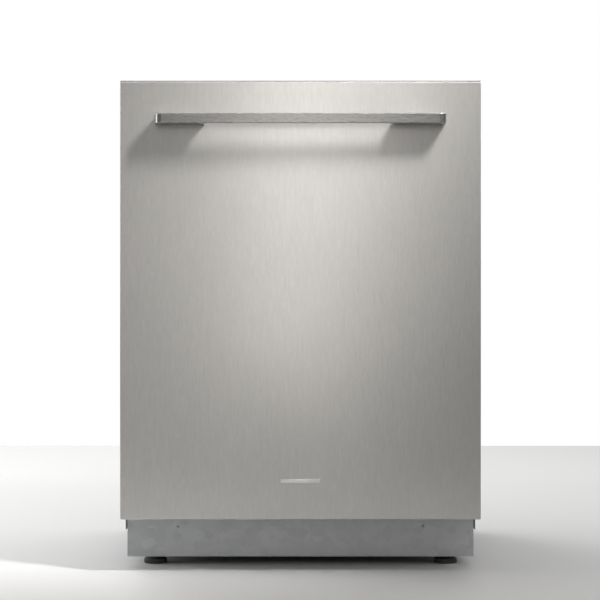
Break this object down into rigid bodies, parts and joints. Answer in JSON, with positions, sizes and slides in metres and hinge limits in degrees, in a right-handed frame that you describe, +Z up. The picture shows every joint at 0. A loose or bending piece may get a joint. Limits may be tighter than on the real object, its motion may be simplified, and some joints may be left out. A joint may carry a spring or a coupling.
{
  "type": "built in dishwasher",
  "caption": "Built-in dishwasher with a full brushed steel door panel, a flat bar handle, hidden controls on the door's top edge, sliding racks and spray arms in a steel tub.",
  "frame": {"origin": "middle of the footprint, on the floor", "axes": "+X to the viewer's right, +Y to the back of the machine, +Z up"},
  "size_m": [0.598, 0.61, 0.815],
  "materials": {
    "panel_steel": "vertically brushed",
    "handle_steel": "lengthways brushed",
    "tub_steel": "satin",
    "galvanised_steel": "galvanised",
    "rail_steel": "bright",
    "spring_steel": "oiled",
    "strip_trim": "satin",
    "cap_plastic": "matt dark grey",
    "button_plastic": "satin",
    "grey_plastic": "matt",
    "lid_plastic": "gloss",
    "base_plastic": "matt black",
    "pump_plastic": "matt",
    "board_green": "lacquered",
    "seal_rubber": "soft",
    "felt": "pressed felt",
    "coated_wire": "nylon coated",
    "wheel_plastic": "matt"
  },
  "bodies": {
    "root": {"base_tray": "base_plastic", "kick_plate": "galvanised_steel", "tub_shell": "tub_steel", "tub_floor": "tub_steel", "tub_gasket": "seal_rubber", "sump": "base_plastic", "circulation_pump": "pump_plastic", "drain_pump": "pump_plastic", "water_softener": "pump_plastic", "inlet_valve": "pump_plastic", "air_break_chamber": "pump_plastic", "feed_pipe": "grey_plastic", "filter_plate": "grey_plastic", "side_panel_left": "galvanised_steel", "side_panel_right": "galvanised_steel", "insulation_mats": "felt", "front_top_rail": "galvanised_steel", "rear_frame": "galvanised_steel", "hinge_brackets": "galvanised_steel", "door_springs": "spring_steel", "latch_strike": "galvanised_steel", "rack_rails": "rail_steel", "mains_gland": "base_plastic"},
    "door": {"door_skin": "panel_steel", "door_frame": "galvanised_steel", "door_liner": "tub_steel", "control_strip": "strip_trim", "strip_end_caps": "cap_plastic", "handle_bar": "handle_steel", "handle_feet": "handle_steel", "hinge_arms": "galvanised_steel", "dispenser_body": "grey_plastic", "door_bottom_seal": "seal_rubber", "latch_housing": "grey_plastic", "control_board": "board_green"},
    "power_button": {"power_button": "button_plastic"},
    "program_button": {"program_button": "button_plastic"},
    "start_button": {"start_button": "button_plastic"},
    "dispenser_lid": {"dispenser_lid": "lid_plastic"},
    "rinse_aid_cap": {"rinse_aid_cap": "lid_plastic"},
    "foot_front_left": {"foot_front_left": "base_plastic"},
    "foot_front_right": {"foot_front_right": "base_plastic"},
    "foot_rear": {"foot_rear": "base_plastic"},
    "lower_spray_arm": {"lower_spray_arm": "grey_plastic"},
    "top_spray_arm": {"top_spray_arm": "grey_plastic"},
    "filter_cylinder": {"filter_cylinder": "grey_plastic"},
    "salt_cap": {"salt_cap": "lid_plastic"},
    "pump_impeller": {"pump_impeller": "pump_plastic"},
    "lower_rack": {"lower_rack": "coated_wire"},
    "wheel_front_left": {"wheel_front_left": "wheel_plastic"},
    "wheel_front_right": {"wheel_front_right": "wheel_plastic"},
    "wheel_rear_left": {"wheel_rear_left": "wheel_plastic"},
    "wheel_rear_right": {"wheel_rear_right": "wheel_plastic"},
    "fold_tines_front": {"fold_tines_front": "coated_wire"},
    "fold_tines_rear": {"fold_tines_rear": "coated_wire"},
    "upper_rack": {"upper_rack": "coated_wire"},
    "upper_spray_arm": {"upper_spray_arm": "grey_plastic"},
    "cup_shelf": {"cup_shelf": "coated_wire"},
    "middle_rails": {"middle_rails": "rail_steel"},
    "cutlery_tray": {"cutlery_tray": "coated_wire"}
  },
  "joints": [
    {"name": "appliance_door", "type": "hinge", "parent": "root", "child": "door", "pos_m": [0, -0.222, 0.14], "axis": [1, 0, 0], "range_deg": [0, 90], "deforming": ["door_springs"]},
    {"name": "power_button_press", "type": "slide", "parent": "door", "child": "power_button", "axis": [0, 0, -1], "range_m": [0, 0.0012], "stiffness_N_per_m": 600, "springref_m": -0.001},
    {"name": "program_button_press", "type": "slide", "parent": "door", "child": "program_button", "axis": [0, 0, -1], "range_m": [0, 0.0012], "stiffness_N_per_m": 600, "springref_m": -0.001},
    {"name": "start_button_press", "type": "slide", "parent": "door", "child": "start_button", "axis": [0, 0, -1], "range_m": [0, 0.0012], "stiffness_N_per_m": 600, "springref_m": -0.001},
    {"name": "dispenser_lid_slide", "type": "slide", "parent": "door", "child": "dispenser_lid", "axis": [0, 0, -1], "range_m": [0, 0.1]},
    {"name": "rinse_aid_cap_turn", "type": "hinge", "parent": "door", "child": "rinse_aid_cap", "pos_m": [0.044, -0.2, 0.5], "axis": [0, 1, 0], "range_deg": [0, 90]},
    {"name": "foot_front_left_height", "type": "slide", "parent": "root", "child": "foot_front_left", "axis": [0, 0, -1], "range_m": [0, 0.03]},
    {"name": "foot_front_right_height", "type": "slide", "parent": "root", "child": "foot_front_right", "axis": [0, 0, -1], "range_m": [0, 0.03]},
    {"name": "foot_rear_height", "type": "slide", "parent": "root", "child": "foot_rear", "axis": [0, 0, -1], "range_m": [0, 0.03]},
    {"name": "lower_spray_arm_spin", "type": "hinge", "parent": "root", "child": "lower_spray_arm", "pos_m": [0, 0.03, 0.182], "axis": [0, 0, 1], "continuous": true},
    {"name": "top_spray_arm_spin", "type": "hinge", "parent": "root", "child": "top_spray_arm", "pos_m": [0, 0.03, 0.757], "axis": [0, 0, 1], "continuous": true},
    {"name": "filter_cylinder_turn", "type": "hinge", "parent": "root", "child": "filter_cylinder", "pos_m": [0.075, 0.03, 0.12], "axis": [0, 0, 1], "range_deg": [0, 60]},
    {"name": "salt_cap_turn", "type": "hinge", "parent": "root", "child": "salt_cap", "pos_m": [-0.165, 0.145, 0.165], "axis": [0, 0, 1], "continuous": true},
    {"name": "pump_impeller_spin", "type": "hinge", "parent": "root", "child": "pump_impeller", "pos_m": [-0.05, 0.03, 0.106], "axis": [1, 0, 0], "continuous": true},
    {"name": "lower_rack_slide", "type": "slide", "parent": "root", "child": "lower_rack", "axis": [0, -1, 0], "range_m": [0, 0.16]},
    {"name": "wheel_front_left_roll", "type": "hinge", "parent": "lower_rack", "child": "wheel_front_left", "pos_m": [-0.262, -0.075, 0.178], "axis": [1, 0, 0], "range_deg": [0, 505]},
    {"name": "wheel_front_right_roll", "type": "hinge", "parent": "lower_rack", "child": "wheel_front_right", "pos_m": [0.262, -0.075, 0.178], "axis": [1, 0, 0], "range_deg": [0, 505]},
    {"name": "wheel_rear_left_roll", "type": "hinge", "parent": "lower_rack", "child": "wheel_rear_left", "pos_m": [-0.262, 0.18, 0.178], "axis": [1, 0, 0], "range_deg": [0, 505]},
    {"name": "wheel_rear_right_roll", "type": "hinge", "parent": "lower_rack", "child": "wheel_rear_right", "pos_m": [0.262, 0.18, 0.178], "axis": [1, 0, 0], "range_deg": [0, 505]},
    {"name": "fold_tines_front_fold", "type": "hinge", "parent": "lower_rack", "child": "fold_tines_front", "pos_m": [0, 0.08, 0.206], "axis": [1, 0, 0], "range_deg": [0, 90]},
    {"name": "fold_tines_rear_fold", "type": "hinge", "parent": "lower_rack", "child": "fold_tines_rear", "pos_m": [0, 0.16, 0.206], "axis": [1, 0, 0], "range_deg": [0, 90]},
    {"name": "middle_rails_slide", "type": "slide", "parent": "root", "child": "middle_rails", "axis": [0, -1, 0], "range_m": [0, 0.225]},
    {"name": "upper_rack_slide", "type": "slide", "parent": "root", "child": "upper_rack", "axis": [0, -1, 0], "range_m": [0, 0.45]},
    {"name": "upper_spray_arm_spin", "type": "hinge", "parent": "upper_rack", "child": "upper_spray_arm", "pos_m": [0, 0.03, 0.4], "axis": [0, 0, 1], "continuous": true},
    {"name": "cup_shelf_fold", "type": "hinge", "parent": "upper_rack", "child": "cup_shelf", "pos_m": [0.2406, 0.045, 0.4998], "axis": [0, 1, 0], "range_deg": [0, 80]},
    {"name": "cutlery_tray_slide", "type": "slide", "parent": "root", "child": "cutlery_tray", "axis": [0, -1, 0], "range_m": [0, 0.38]}
  ],
  "couplings": [
    {"joint": "lower_rack_slide", "follows": "appliance_door", "m_per_rad": 0.1},
    {"joint": "upper_rack_slide", "follows": "appliance_door", "m_per_rad": 0.28},
    {"joint": "middle_rails_slide", "follows": "appliance_door", "m_per_rad": 0.14},
    {"joint": "cutlery_tray_slide", "follows": "appliance_door", "m_per_rad": 0.24},
    {"joint": "wheel_front_left_roll", "follows": "appliance_door", "ratio": 5.5556},
    {"joint": "wheel_front_right_roll", "follows": "appliance_door", "ratio": 5.5556},
    {"joint": "wheel_rear_left_roll", "follows": "appliance_door", "ratio": 5.5556},
    {"joint": "wheel_rear_right_roll", "follows": "appliance_door", "ratio": 5.5556}
  ]
}
